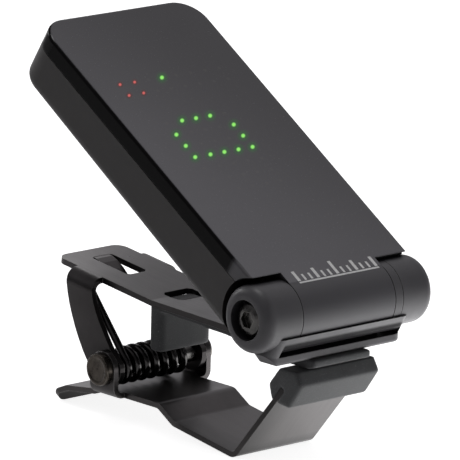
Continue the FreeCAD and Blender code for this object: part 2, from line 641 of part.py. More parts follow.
def upper_jaw_plate():
    """Long strip with two arms bent down to the pin."""
    body = new_body("upper_jaw_plate", "clip")
    # the plate's top runs from (30, -4.55) up to (50.4, -2.07); the arms start at arm_rear on it
    slope = math.atan2(-2.07 + 4.55, 50.4 - 30.0)
    arm_rear = 45.75
    arm_top = -2.07 - (50.4 - arm_rear) * math.tan(slope)
    half, sheet_thick = SIZE["arm_half"], SIZE["sheet_upper"]

    def on_channel(depth):
        """(y, z) at a depth below the sloping top, 6 mm along it from the rear."""
        return (arm_rear - 6.0 * math.cos(slope) + depth * math.sin(slope),
                arm_top - 6.0 * math.sin(slope) - depth * math.cos(slope))

    # the arms start as a channel whose top follows the slope of the plate
    channel = channel_loop(half, half - sheet_thick, 0.0, -sheet_thick, "arm_bottom")
    channel[0], channel[-1] = ("-arm_half", 0.0), ("-arm_half", "arm_bottom")
    add(body, "XZ", "upper_channel", [channel], -arm_rear, -32.0,
        tilt=math.degrees(slope), lift=arm_top)
    bend = 1.15
    dress(body, "upper_bend_outer", bend + sheet_thick, both_sides(half, on_channel(0.0)))
    inner = both_sides(half - sheet_thick, on_channel(sheet_thick))
    dress(body, "upper_bend_inner", bend, inner)
    # both trims meet below the pin, half way round the arms' rounded ends
    end_arc = arc(SIZE["pin_y"], SIZE["pin_z"], 2.75, -25, -200, 14)
    meet_y = end_arc[7][0]
    rear = ARM_REAR_EDGE + end_arc[:8] + [(meet_y, -24.0), (52.0, -24.0), (52.0, 1.0)]
    cut(body, "YZ", "upper_trim_rear", [rear], -9.0, 9.0)
    front = ARM_FRONT_EDGE + end_arc[:6:-1] + [(meet_y, -24.0), (28.0, -24.0), (28.0, 1.0)]
    cut(body, "YZ", "upper_trim_front", [front], -9.0, 9.0)
    strip = strip_loop(UPPER_STRIP, sheet_thick)
    add(body, "YZ", "upper_strip", [strip], "-upper_half", "upper_half")
    tab_ends = both_sides(SIZE["upper_half"], (50.43, -2.4))
    dress(body, "upper_tab_corners", 1.8, tab_ends, tol=0.1)
    windows = [window_loop(1.9, 39.6, 47.6, 0.5), window_loop(2.7, 27.3, 31.5, 0.6)]
    cut(body, "XY", "upper_windows", windows, -8.0, 0.0)
    add(body, "YZ", "upper_tongue", [strip_loop(UPPER_TONGUE, 0.8)], -1.5, 1.5)
    cut(body, "XY", "upper_screw_holes", circles(BRACKET_SCREWS, 0.85), -7.0, -5.0)
    cut(body, "YZ", "upper_pin_holes", [("pin_y", "pin_z", 1.25)], -9.0, 9.0)


def upper_jaw_pad():
    """Pad under the strip, with a stop block at its rear and a plug up into the front window."""
    body = new_body("upper_jaw_pad", "clip")
    half, front, rear, foot = 4.95, 29.1, 31.75, -12.35
    add(body, "XY", "upad_block", [box_loop(-half, front, half, rear)], foot, -5.7)
    dress(body, "upad_block_sides", 1.1, both_sides(half, (front, -9.0), (rear, -9.0)))
    dress(body, "upad_block_foot", 0.6, [(0.0, front, foot)])
    nose = [(9.0, -6.15), (5.5, -6.25), (5.5, -6.65), (-3.2, -6.7), (-3.2, -7.75),
            (-1.7, -8.1), (4.5, -8.1), (9.0, -7.2)]
    add(body, "YZ", "upad_nose", [nose], -5.35, 5.35)
    strip = [(31.0, -5.4), (30.0, -5.5), (7.0, -6.2), (7.0, -7.2), (31.0, -6.2)]
    add(body, "YZ", "upad_strip", [strip], -5.0, 5.0)
    dress(body, "upad_front", 0.3, [(0.0, -3.2, -7.75)] + both_sides(5.35, (-3.2, -7.2)))
    add(body, "XY", "upad_plug", [box_loop(-2.4, 28.2, 2.4, 31.0)], -5.9, -4.95)


# ---------------------------------------------------------------- clip: lower jaw
# (y, z) centre line from the rear lip forward, ending up the rising plate
LOWER_STRIP = [
    (49.25, -22.92), (48.35, -21.4), (46.5, -20.6), (40.4, -19.8), (38.2, -19.05),
    (26.7, -19.05), (23.5, -20.95), (10.742, -22.85), (-0.76, -9.19)]


def across(down, out):
    """(y, z) down the rising plate from its end, and out from its middle towards the front."""
    return (-0.76 + 0.644 * down - 0.765 * out, -9.19 - 0.765 * down - 0.644 * out)


def slab_loop(start, end, half):
    """A rectangle along the rising plate, half its thickness to either side."""
    return [across(start, half), across(end, half), across(end, -half), across(start, -half)]


def lower_jaw_plate():
    """Bent strip with a lip at the rear, two ears up to the pin and a rising plate in front."""
    body = new_body("lower_jaw_plate", "clip")
    sheet_thick = SIZE["sheet_lower"]
    # walking forward, left is the underside and right the top
    left, right = ribbon(LOWER_STRIP, sheet_thick)
    add(body, "YZ", "lower_strip", [left + right[::-1]], "-lower_half", "lower_half")
    # name, inner radius, corners on the outside and on the inside of the bends
    bends = [
        ("lower_bend_4", 1.2, [right[4], right[5], left[6]], [left[4], left[5], right[6]]),
        ("lower_vee", 1.1, [left[7]], [right[7]]),
        ("lower_lip", 0.6, [right[1], right[2]], [left[1], left[2]]),
    ]
    for name, radius, outside, inside in bends:
        dress(body, name + "_out", radius + sheet_thick, [(0.0, y, z) for y, z in outside])
        dress(body, name + "_in", radius, [(0.0, y, z) for y, z in inside])

    half, ear_thick, web, inner_web = SIZE["ear_half"], 0.85, -19.45, -18.65
    ear_rear, ear_front, ear_bend = 39.02, 33.9, 0.75
    ears = channel_loop(half, half - ear_thick, web, inner_web, "ear_top")
    add(body, "XZ", "lower_ears", [ears], -ear_rear, -ear_front)
    dress(body, "ear_bend_outer", ear_bend + ear_thick, both_sides(half, (36.0, web)))
    dress(body, "ear_bend_inner", ear_bend, both_sides(half - ear_thick, (36.0, inner_web)))
    top = SIZE["ear_top"]
    dress(body, "ear_tops", 2.5, both_sides(8.8, (ear_front, top), (ear_rear, top)))
    cut(body, "YZ", "ear_holes", [("pin_y", "pin_z", 1.215)], -9.5, 9.5)
    dress(body, "lip_corners", 2.0, both_sides(SIZE["lower_half"], (49.2, -22.8)), tol=0.35)
    tip = slab_loop(-0.5, 2.75, 0.7)
    cut(body, "YZ", "lower_tip_left", [tip], -7.3, "-tip_half")
    cut(body, "YZ", "lower_tip_right", [tip], "tip_half", 7.3)
    dress(body, "lower_tip_corners", 1.2, both_sides(SIZE["tip_half"], across(0, 0)), tol=0.3)


def lower_jaw_pad():
    """Sleeve on the end of the rising plate."""
    body = new_body("lower_jaw_pad", "clip")
    section = [(-1.9, -8.28), (-3.0, -10.05), (-0.3, -13.75), (3.05, -13.35), (3.35, -12.3),
               (3.7, -10.9), (1.6, -8.28)]
    half, slot = 7.45, 0.43
    add(body, "YZ", "lpad_body", [section], -half, half)
    dress(body, "lpad_edges", 0.45, [(0.0,) + section[i] for i in (1, 2, 5)])
    sides = both_sides(half, (-2.55, -9.326), (-1.55, -12.037))
    dress(body, "lpad_sides", 0.5, sides, tol=0.03)
    cut(body, "YZ", "lpad_slot", [slab_loop(2.6, 9.0, slot)], -9.0, 9.0)
    cut(body, "YZ", "lpad_slot_tip", [slab_loop(-0.15, 2.7, slot)], -6.45, 6.45)


# ---------------------------------------------------------------- clip: pin, sleeve, spring
def pivot_pin():
    """Pin with a dished head on the left and a domed one on the right."""
    body = new_body("pivot_pin", "pin")
    # (x, radius)
    outline = [
        (-10.1, 0.0), (-10.13, 1.0), (-10.2, 1.6), (-10.3, 1.85), (-10.3, 2.05), (-10.2, 2.25),
        (-9.95, 2.35), (-9.22, 2.35), (-9.22, "pin_radius"), (9.22, "pin_radius"), (9.22, 2.2),
        (9.6, 2.2), (9.85, 2.05), (10.08, 1.65), (10.24, 1.0), (10.3, 0.0)]
    revolve(body, "pin_turned", outline)


def pivot_sleeve():
    body = new_body("pivot_sleeve", "pin")
    add(body, "YZ", "sleeve_tube", discs(1.5, 1.23), -7.3, 7.3)


def torsion_spring():
    """Round wire: a straight leg under the upper plate, the coil, a straight leg on the tail."""
    radius = SIZE["coil_radius"]
    left, right = SIZE["coil_left"], SIZE["coil_right"]
    start, end = 138.5, 258.7 + 360.0 * SIZE["coil_turns"]

    def off_coil(x, degrees, run):
        """A point at a run along the coil's tangent; a negative run goes back from the start."""
        a = math.radians(degrees)
        return Vector(x, radius * math.cos(a) - run * math.sin(a),
                      radius * math.sin(a) + run * math.cos(a))

    points = [off_coil(left, start, -run) for run in (11.9, 9.0, 6.0, 3.5, 1.6)]
    steps = int((end - start) / 15.0)
    for i in range(steps + 1):
        part = i / steps
        points.append(off_coil(left + (right - left) * part, start + (end - start) * part, 0.0))
    points += [off_coil(right, end, run) for run in (1.6, 3.5, 5.6, 7.9)]
    curve = Part.BSplineCurve()
    curve.interpolate(points)
    tangent = curve.tangent(curve.FirstParameter)[0]
    ring = Part.Wire([Part.Circle(points[0], tangent, SIZE["wire_radius"]).toShape()])
    spring = doc.addObject("Part::Feature", "torsion_spring")
    spring.Label = "torsion_spring"
    spring.Shape = Part.Wire([curve.toShape()]).makePipeShell([ring], True, False)
    place(spring, "pin")


# ---------------------------------------------------------------- build, check and write
for build in (
    front_cover, rear_case, battery_door, battery_door_screw, coin_cell,
    circuit_board, leds, light_shield, controller_chip, power_switch, power_button,
    piezo, battery_contacts, case_screws,
    hinge_bush, hinge_bracket, hinge_screw, friction_washers, hinge_nut, hinge_end_cap,
    bracket_screws, upper_jaw_plate, upper_jaw_pad, lower_jaw_plate, lower_jaw_pad,
    pivot_pin, pivot_sleeve, torsion_spring,
):
    build()

doc.recompute()
for obj in doc.Objects:
    if "Invalid" in obj.State or "Error" in obj.State:
        raise RuntimeError("%s failed: %s" % (obj.Label, obj.State))
for node in NODES:
    if node.Shape.isNull() or not node.Shape.isValid() or not node.Shape.Solids:
        raise RuntimeError("%s has no valid solid" % node.Label)
os.makedirs("parts", exist_ok=True)
for node in NODES:
    node.Shape.exportStep("parts/%s.step" % node.Label)
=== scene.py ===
"""A spring clip whose two jaws pinch together, carrying a tilted display head.

The product frame is in metres with +Z up. The hinge axes run along X. Two working frames
in millimetres are used: the clip frame, square to the product, and the head frame, tilted
about X so that its face rises towards +Y and looks up and towards -Y.
"""
import math
from functools import cached_property, reduce

import bmesh
import bpy
from mathutils import Matrix, Vector


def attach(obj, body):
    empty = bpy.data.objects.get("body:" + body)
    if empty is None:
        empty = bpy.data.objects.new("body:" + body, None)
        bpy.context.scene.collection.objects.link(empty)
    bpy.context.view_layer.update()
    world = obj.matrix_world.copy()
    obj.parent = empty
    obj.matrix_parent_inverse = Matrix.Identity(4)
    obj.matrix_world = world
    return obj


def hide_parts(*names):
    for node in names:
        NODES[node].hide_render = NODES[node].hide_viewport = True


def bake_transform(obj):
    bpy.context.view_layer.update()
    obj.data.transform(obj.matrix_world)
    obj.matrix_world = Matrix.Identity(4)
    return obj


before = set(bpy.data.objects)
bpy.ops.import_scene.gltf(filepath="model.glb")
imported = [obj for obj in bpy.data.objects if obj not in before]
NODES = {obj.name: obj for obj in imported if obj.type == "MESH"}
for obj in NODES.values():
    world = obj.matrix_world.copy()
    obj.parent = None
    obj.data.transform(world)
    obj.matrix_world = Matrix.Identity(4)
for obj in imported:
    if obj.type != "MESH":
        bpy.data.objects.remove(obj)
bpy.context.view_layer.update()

# ---------------------------------------------------------------- working frames
SHIFT = Vector((-0.225, -22.85, 23.143))  # origin of both working frames, mm
HEAD_TILT = Matrix.Rotation(math.radians(31.79), 3, "X")
PIN_Y, PIN_Z = 36.45, -15.4  # axis of the spring and jaw pivot, clip frame, mm


def clip(x, y, z):
    """A point of the clip frame in the product frame."""
    return (Vector((x, y, z)) + SHIFT) / 1000.0


def head(x, s, n):
    """A point of the head frame: s runs up the face, n stands out of it, 0 is the hinge axis."""
    return (HEAD_TILT @ Vector((x, s, n)) + SHIFT) / 1000.0


# ---------------------------------------------------------------- display layout, head frame, mm
FACE_N = 4.8  # height of the lit points above the hinge axis
COLUMN_X = [-7.15, -4.3, -1.7, 0.95, 3.6]
ROW_S = [33.6, 31.2, 28.85, 26.5, 24.15, 21.8, 19.45]
LETTER = [".###.", "#...#", "#...#", "#####", ".....", ".....", "....."]  # "#" is lit
METER_X = [-9.5, -6.8, -4.2, -1.7, 1.0, 3.7, 6.4, 9.1]  # two rows of points above the letter
METER_S = [42.2, 39.9]

GREEN = [(x, s) for s, row in zip(ROW_S, LETTER) for x, mark in zip(COLUMN_X, row) if mark == "#"]
GREEN.append((METER_X[3], METER_S[0]))
RED = [(x, s) for s in METER_S for x in METER_X[:2]]
UNLIT = [(x, s) for x in COLUMN_X for s in ROW_S if (x, s) not in GREEN]
UNLIT += [(x, s) for x in METER_X[2:] for s in METER_S if (x, s) not in GREEN]


# ---------------------------------------------------------------- node graphs
class Graph:
    """The node tree of a material or world, built by calls that return output sockets."""

    def __init__(self, owner, output):
        owner.use_nodes = True
        self.owner = owner
        self.tree = owner.node_tree
        self.tree.nodes.clear()
        self.out = self.node(output)

    def set(self, socket, value):
        """Link another node's output to the socket, or give it a constant."""
        if hasattr(value, "is_output"):
            self.tree.links.new(value, socket)
        elif socket.type == "RGBA":
            socket.default_value = tuple(value) + (1,)
        else:
            socket.default_value = value

    def node(self, kind, inputs=None, **settings):
        made = self.tree.nodes.new("ShaderNode" + kind)
        for name, value in settings.items():
            setattr(made, name, value)
        for socket, value in (inputs or {}).items():
            self.set(made.inputs[socket], value)
        return made

    def finish(self, shader):
        self.set(self.out.inputs[0], shader)
        return self.owner

    # one coordinate node feeds the measurements and another the noises
    @cached_property
    def place(self):
        return self.node("TexCoord").outputs["Object"]

    @cached_property
    def noise_place(self):
        return self.node("TexCoord").outputs["Object"]

    @cached_property
    def geometry(self):
        return self.node("NewGeometry").outputs

    def math(self, operation, a, b):
        return self.node("Math", {0: a, 1: b}, operation=operation).outputs[0]

    def total(self, *values):
        return reduce(lambda a, b: self.math("ADD", a, b), values)

    def product(self, *values):
        return reduce(lambda a, b: self.math("MULTIPLY", a, b), values)

    def highest(self, *values):
        return reduce(lambda a, b: self.math("MAXIMUM", a, b), values)

    def vector(self, operation, a, b=None):
        inputs = {0: a} if b is None else {0: a, 1: b}
        scalar = operation in ("DOT_PRODUCT", "DISTANCE", "LENGTH")
        made = self.node("VectorMath", inputs, operation=operation)
        return made.outputs["Value" if scalar else "Vector"]

    def dot(self, a, b):
        return self.vector("DOT_PRODUCT", a, b)

    def remap(self, value, over, to=(0.0, 1.0), smooth=False):
        """Carry the range `over` to the range `to`, held constant beyond its ends."""
        inputs = dict(enumerate((value, *over, *to)))
        kind = "SMOOTHSTEP" if smooth else "LINEAR"
        return self.node("MapRange", inputs, interpolation_type=kind).outputs[0]

    def mix(self, factor, a, b, blend="MIX"):
        """Colour a where the factor is 0, colour b where it is 1."""
        inputs = {0: factor, 6: a, 7: b}
        return self.node("Mix", inputs, data_type="RGBA", blend_type=blend).outputs[2]

    def noise(self, scale, detail=4.0, rough=0.55, stretch=None, distortion=0.0):
        place = self.noise_place
        if stretch:
            place = self.node("Mapping", {"Scale": stretch, "Vector": place}).outputs[0]
        inputs = {"Vector": place, "Scale": scale, "Detail": detail, "Roughness": rough,
                  "Distortion": distortion}
        return self.node("TexNoise", inputs).outputs["Fac"]

    def bevel(self, radius):
        return self.node("Bevel", {"Radius": radius}, samples=6).outputs[0]

    def bump(self, height, distance, strength, bevel=0.0):
        """A normal roughened by the height, over edges rounded by the bevel radius."""
        inputs = {"Height": height, "Distance": distance, "Strength": strength}
        if bevel:
            inputs["Normal"] = self.bevel(bevel)
        return self.node("Bump", inputs).outputs[0]

    def edge(self, radius):
        """1 near a sharp edge, 0 on open surface: how far a rounded normal leans."""
        lean = self.dot(self.bevel(radius), self.geometry["Normal"])
        return self.remap(lean, over=(0.80, 0.995), to=(1.0, 0.0))

    def occlusion_shade(self, distance=0.0022, power=1.6):
        """1 on open surface, towards 0 deep inside slots and corners; used to paint shade there."""
        occlusion = self.node("AmbientOcclusion", {"Distance": distance}, samples=8)
        return self.math("POWER", occlusion.outputs["AO"], power)

    def principled(self, color, rough, normal, metal=0.0, coat=0.0, coat_rough=0.1,
                   spec=0.5, sheen=0.0, emit=None):
        """Close the material with a Principled shader and return the material."""
        inputs = {
            "Base Color": color, "Roughness": rough, "Normal": normal, "Metallic": metal,
            "Coat Weight": coat, "Coat Roughness": coat_rough,
            "Specular IOR Level": spec, "Sheen Weight": sheen,
        }
        if emit is not None:
            inputs.update({"Emission Color": emit, "Emission Strength": 1.0})
        return self.finish(self.node("BsdfPrincipled", inputs).outputs[0])


def material_graph(name):
    return Graph(bpy.data.materials.new(name), "OutputMaterial")


def scaled(color, factor):
    return tuple(factor * c for c in color)


def measure(g, node, axis):
    """Distance from the head's hinge axis along a product axis, in the piece's coordinates."""
    rest = NODES[node].matrix_world.copy()
    own_axis = rest.to_3x3().transposed() @ Vector(axis)
    return g.total(g.dot(g.place, own_axis), -(rest.inverted() @ head(0, 0, 0)).dot(own_axis))


# ---------------------------------------------------------------- painted shade by place, metres
BLACK = (0.0, 0.0, 0.0)


def upper_shade(g):
    """Painted shade: the upper plate's colour darkens towards the head's hinge, where it lies under the
    head.
    """
    along = measure(g, "upper_jaw_plate", (0, 1, 0))
    return g.remap(along, over=(0.036, 0.050), to=(0.55, 1.0), smooth=True)


def lower_shade(g):
    """Painted shade: the lower plate's colour darkens towards -X, except at its +Y part."""
    across = measure(g, "lower_jaw_plate", (1, 0, 0))
    side = g.remap(across, over=(-0.0075, 0.0), to=(0.5, 1.12), smooth=True)
    rear = g.remap(measure(g, "lower_jaw_plate", (0, 1, 0)), over=(0.019, 0.024))
    return g.highest(side, rear)


def recess_shade(g):
    """Painted shade: the long recess in the -Y side of the bracket is painted dark inside."""
    x = measure(g, "hinge_bracket", (1, 0, 0))
    y = measure(g, "hinge_bracket", (0, 1, 0))
    z = measure(g, "hinge_bracket", (0, 0, 1))
    inside = g.product(
        g.remap(z, over=(-0.00542, -0.00536)),
        g.remap(z, over=(-0.0037, -0.0032), to=(1.0, 0.0), smooth=True),
        g.remap(x, over=(-0.0116, -0.0113)),
        g.remap(x, over=(0.0110, 0.0113), to=(1.0, 0.0)),
        g.remap(y, over=(-0.0010, -0.0008), to=(1.0, 0.0)),
    )
    return g.math("SUBTRACT", 1.0, g.product(inside, 0.93))


# ---------------------------------------------------------------- materials
def plated_sheet(name, shade):
    """Black-nickel sheet: satin metal with a fine rolled grain, brighter at its sheared edges, with
    painted shade in crevices and by place.
    """
    dark, light, worn = (0.072, 0.067, 0.067), (0.098, 0.092, 0.092), (0.42, 0.41, 0.40)
    g = material_graph(name)
    grain = g.noise(scale=2600.0, detail=3.0, rough=0.6, stretch=(1.0, 0.07, 0.07))
    cloud = g.noise(scale=170.0, rough=0.6)
    fine = g.noise(scale=9000.0, detail=2.0, rough=0.5)
    patches = g.remap(g.noise(scale=1500.0, detail=3.0), over=(0.35, 0.65), to=(0.25, 0.8))
    wear = g.product(g.edge(radius=0.00016), patches)
    color = g.mix(wear, g.mix(g.remap(cloud, over=(0.3, 0.7)), dark, light), worn)
    # painted shade: the colour darkens in crevices
    color = g.mix(g.occlusion_shade(distance=0.002, power=1.2), scaled(dark, factor=0.45), color)
    # painted shade: the colour darkens by place, as the shade function gives
    color = g.mix(shade(g), BLACK, color)
    rough = g.total(g.remap(cloud, over=(0.2, 0.8), to=(0.26, 0.38)),
                    g.remap(grain, over=(0.2, 0.8), to=(-0.03, 0.04)))
    grain_share, fine_share = 0.6, 0.4
    height = g.total(g.product(grain, grain_share), g.product(fine, fine_share))
    normal = g.bump(height, distance=0.000012, strength=0.35, bevel=0.00012)
    return g.principled(color, rough, normal, metal=0.92)


def turned_metal(name, dark, light, rough=(0.18, 0.34), wear=(0.7, 0.69, 0.66)):
    """Turned or drawn metal: rings of tool marks, small stains, bright edges."""
    edge_wear = 0.7
    g = material_graph(name)
    rings = g.noise(scale=3800.0, detail=2.0, rough=0.5, stretch=(1.0, 0.12, 0.12))
    stain = g.noise(scale=700.0, detail=5.0, rough=0.65, distortion=0.6)
    body = g.mix(g.remap(stain, over=(0.35, 0.7)), dark, light)
    color = g.mix(g.product(g.edge(radius=0.0002), edge_wear), body, wear)
    normal = g.bump(rings, distance=0.00001, strength=0.4, bevel=0.0001)
    return g.principled(color, g.remap(stain, over=(0.3, 0.7), to=rough), normal, metal=1.0)


def moulded(name, dark, light, rough=(0.34, 0.5), grain=5200.0, depth=0.00002,
            worn=(0.16, 0.155, 0.15), shade=None):
    """Moulded plastic: fine spark texture, slight cloudiness, paler along the edges from wear and a
    painted highlight, with painted shade in hollows.
    """
    g = material_graph(name)
    spark = g.noise(scale=grain, detail=3.0, rough=0.7)
    cloud = g.noise(scale=120.0, rough=0.6)
    rub = g.noise(scale=900.0, detail=5.0, rough=0.7)
    body = g.mix(g.remap(cloud, over=(0.3, 0.7)), dark, light)
    patches = g.remap(rub, over=(0.35, 0.65), to=(0.2, 0.7))
    # edge wear and a painted highlight: the colour pales along sharp edges
    color = g.mix(g.product(g.edge(radius=0.00022), patches), body, worn)
    # painted shade: the colour darkens in hollows and, where a shade is given, by place
    unshaded = g.occlusion_shade()
    if shade:
        unshaded = g.product(unshaded, shade(g))
        color = g.mix(unshaded, BLACK, color)
    color = g.mix(unshaded, scaled(dark, factor=0.35), color)
    roughness = g.total(g.remap(cloud, over=(0.25, 0.75), to=rough),
                        g.remap(rub, over=(0.3, 0.7), to=(-0.04, 0.05)))
    normal = g.bump(spark, distance=depth, strength=0.5, bevel=0.00018)
    open_specular = 0.5
    return g.principled(color, roughness, normal, spec=g.product(unshaded, open_specular))


def rubber(name, dark, light, speck):
    """Moulded rubber: matt, finely pitted, with a dusty bloom and a few pale specks."""
    edge_wear = 0.35
    g = material_graph(name)
    pit = g.noise(scale=4300.0, rough=0.75)
    bloom = g.noise(scale=260.0, detail=5.0, rough=0.65)
    dust = g.noise(scale=7500.0, detail=2.0, rough=0.5)
    body = g.mix(g.remap(bloom, over=(0.3, 0.7)), dark, light)
    body = g.mix(g.product(g.edge(radius=0.0003), edge_wear), body, speck)
    color = g.mix(g.remap(dust, over=(0.64, 0.72), to=(0.0, 0.55)), body, speck)
    rough = g.remap(bloom, over=(0.3, 0.7), to=(0.62, 0.82))
    normal = g.bump(pit, distance=0.00004, strength=0.7, bevel=0.0002)
    return g.principled(color, rough, normal, spec=0.35, sheen=0.15)


# lit points: places, radius of the bright core and of the halo (m), colour of core and halo
GLOWS = [
    (GREEN, 0.00038, 0.00105, (0.26, 0.84, 0.12), (0.005, 0.050, 0.008)),
    (RED, 0.00027, 0.0006, (0.60, 0.085, 0.075), (0.040, 0.004, 0.004)),
]


def smoked_face(name):
    """Smoked display cover: deep gloss, faint haze and dust, a painted light gradient and painted shade in
    hollows; lit points bloom behind it.

    All is measured in the cover's own coordinates, so the finish travels with the head.
    """
    g = material_graph(name)
    rest = NODES["front_cover"].matrix_world.copy()
    spin = rest.to_3x3().transposed()

    def local(x, s, n):
        return rest.inverted() @ head(x, s, n)

    def own_vector(socket, kind):
        return g.node("VectorTransform", {0: socket}, vector_type=kind,
                      convert_from="WORLD", convert_to="OBJECT").outputs[0]

    def own_axis(x, s, n):
        return (spin @ (head(x, s, n) - head(0, 0, 0))).normalized()

    # regions: the flat window, and the satin barrel round the hinge axis
    normal = own_vector(g.geometry["Normal"], "NORMAL")
    sight = own_vector(g.geometry["Incoming"], "VECTOR")
    facing = g.remap(g.dot(normal, own_axis(0, 0, 1)), over=(0.86, 0.99), smooth=True)
    along = own_axis(0, 1, 0)
    run = g.total(g.dot(g.place, along), -local(0, 0, 0).dot(along))
    satin = g.remap(run, over=(0.0062, 0.0076), to=(1.0, 0.0), smooth=True)
    far = g.remap(run, over=(0.0005, 0.0012), smooth=True)
    flat = g.product(facing, g.highest(g.remap(run, over=(0.0062, 0.0066)), far))
    barrel = g.product(satin, g.math("SUBTRACT", 1.0, flat))

    # painted light: the window's colour pales towards -X and down the face
    left = g.math("SUBTRACT", -rest.translation.x, g.dot(g.place, spin @ Vector((1, 0, 0))))
    run_weight = -0.6
    slope = g.total(g.product(run, run_weight), left)
    painted_light_grade = g.remap(slope, over=(-0.042, 0.012), smooth=True)

    haze = g.noise(scale=60.0, detail=3.0, rough=0.6)
    dust = g.noise(scale=6000.0, detail=2.0, rough=0.5)
    spark = g.noise(scale=5200.0, detail=3.0, rough=0.7)
    face_shaded_end, face_lit_end = (0.030, 0.028, 0.032), (0.108, 0.105, 0.117)
    haze_color, dust_color, rim_color = (0.05, 0.049, 0.055), (0.16, 0.16, 0.165), (0.0045, 0.0042, 0.0044)
    barrel_dark, barrel_light = (0.062, 0.060, 0.066), (0.076, 0.074, 0.081)
    face = g.mix(painted_light_grade, face_shaded_end, face_lit_end)
    face = g.mix(g.remap(haze, over=(0.35, 0.65), to=(0.0, 0.2)), face, haze_color)
    face = g.mix(g.remap(dust, over=(0.70, 0.76), to=(0.0, 0.35)), face, dust_color)
    color = g.mix(flat, rim_color, face)
    color = g.mix(barrel, color, g.mix(haze, barrel_dark, barrel_light))

    # the distance is taken from the point to the line of sight, so that each bloom is a
    # round spot from every side
    halos, lights = [], []
    for places, tight, wide, core_color, halo_color in GLOWS:
        cores, rings = [], []
        for x, s in places:
            offset = g.vector("SUBTRACT", g.place, local(x, s, FACE_N))
            miss = g.vector("LENGTH", g.vector("CROSS_PRODUCT", offset, sight))
            core_band, halo_band = (tight * 0.35, tight), (tight * 0.8, wide)
            cores.append(g.remap(miss, over=core_band, to=(1.0, 0.0), smooth=True))
            rings.append(g.remap(miss, over=halo_band, to=(1.0, 0.0), smooth=True))
        halo = g.highest(*rings)
        light = g.mix(g.product(halo, flat), BLACK, halo_color)
        lights.append(g.mix(g.product(g.highest(*cores), flat), light, core_color))
        halos.append(halo)
    glow = g.mix(1.0, *lights, blend="ADD")
    halo_cover, halo_base = 0.85, (0.006, 0.01, 0.007)
    color = g.mix(g.product(g.highest(*halos), flat, halo_cover), color, halo_base)

    # the unlit places show very faintly
    spots = []
    for x, s in UNLIT:
        distance = g.vector("DISTANCE", g.place, local(x, s, FACE_N))
        spots.append(g.remap(distance, over=(0.00018, 0.0004), to=(1.0, 0.0), smooth=True))
    spot_cover, spot_color = 0.18, (0.12, 0.115, 0.10)
    color = g.mix(g.product(g.highest(*spots), flat, spot_cover), color, spot_color)

    # painted shade: the colour darkens in hollows
    unshaded = g.occlusion_shade()
    face_hollow_shade_color = (0.003, 0.003, 0.003)
    color = g.mix(unshaded, face_hollow_shade_color, color)
    barrel_rough = 0.27
    rough = g.total(g.remap(haze, over=(0.3, 0.7), to=(0.12, 0.18)),
                    g.remap(dust, over=(0.66, 0.76), to=(0.0, 0.3)),
                    g.product(barrel, barrel_rough))
    dust_height, spark_height = 0.1, 1.0
    height = g.total(g.product(dust, dust_height), g.product(spark, barrel, spark_height))
    base_spec, added_spec = 0.07, 0.43
    spec = g.total(base_spec, g.product(g.highest(flat, barrel), added_spec))
    return g.principled(
        color, rough, g.bump(height, distance=0.00002, strength=0.4, bevel=0.0002),
        coat=g.product(flat, g.remap(painted_light_grade, over=(0.0, 1.0), to=(0.10, 0.35))),
        coat_rough=0.05, spec=g.product(unshaded, spec), emit=glow)


def board_mask(name):
    """Green solder mask over a woven board."""
    dark, light = (0.012, 0.10, 0.04), (0.02, 0.15, 0.06)
    g = material_graph(name)
    weave = g.noise(scale=5200.0, detail=2.0, rough=0.4, stretch=(1.0, 0.2, 1.0))
    cloud = g.noise(scale=400.0, detail=3.0)
    color = g.mix(g.remap(cloud, over=(0.3, 0.7)), dark, light)
    rough = g.remap(weave, over=(0.3, 0.7), to=(0.25, 0.4))
    normal = g.bump(weave, distance=0.00001, strength=0.4, bevel=0.0001)
    return g.principled(color, rough, normal, coat=0.4)


def printed(name):
    """White screen-printed ink, worn grey in patches."""
    ink, worn_ink = (0.80, 0.80, 0.79), (0.35, 0.35, 0.36)
    g = material_graph(name)
    screen = g.noise(scale=8000.0, detail=2.0, rough=0.5)
    worn = g.noise(scale=1800.0, rough=0.7)
    color = g.mix(g.remap(worn, over=(0.45, 0.75), to=(0.0, 0.35)), ink, worn_ink)
    rough = g.remap(screen, over=(0.3, 0.7), to=(0.35, 0.55))
    return g.principled(color, rough, g.bump(screen, distance=0.000005, strength=0.3))


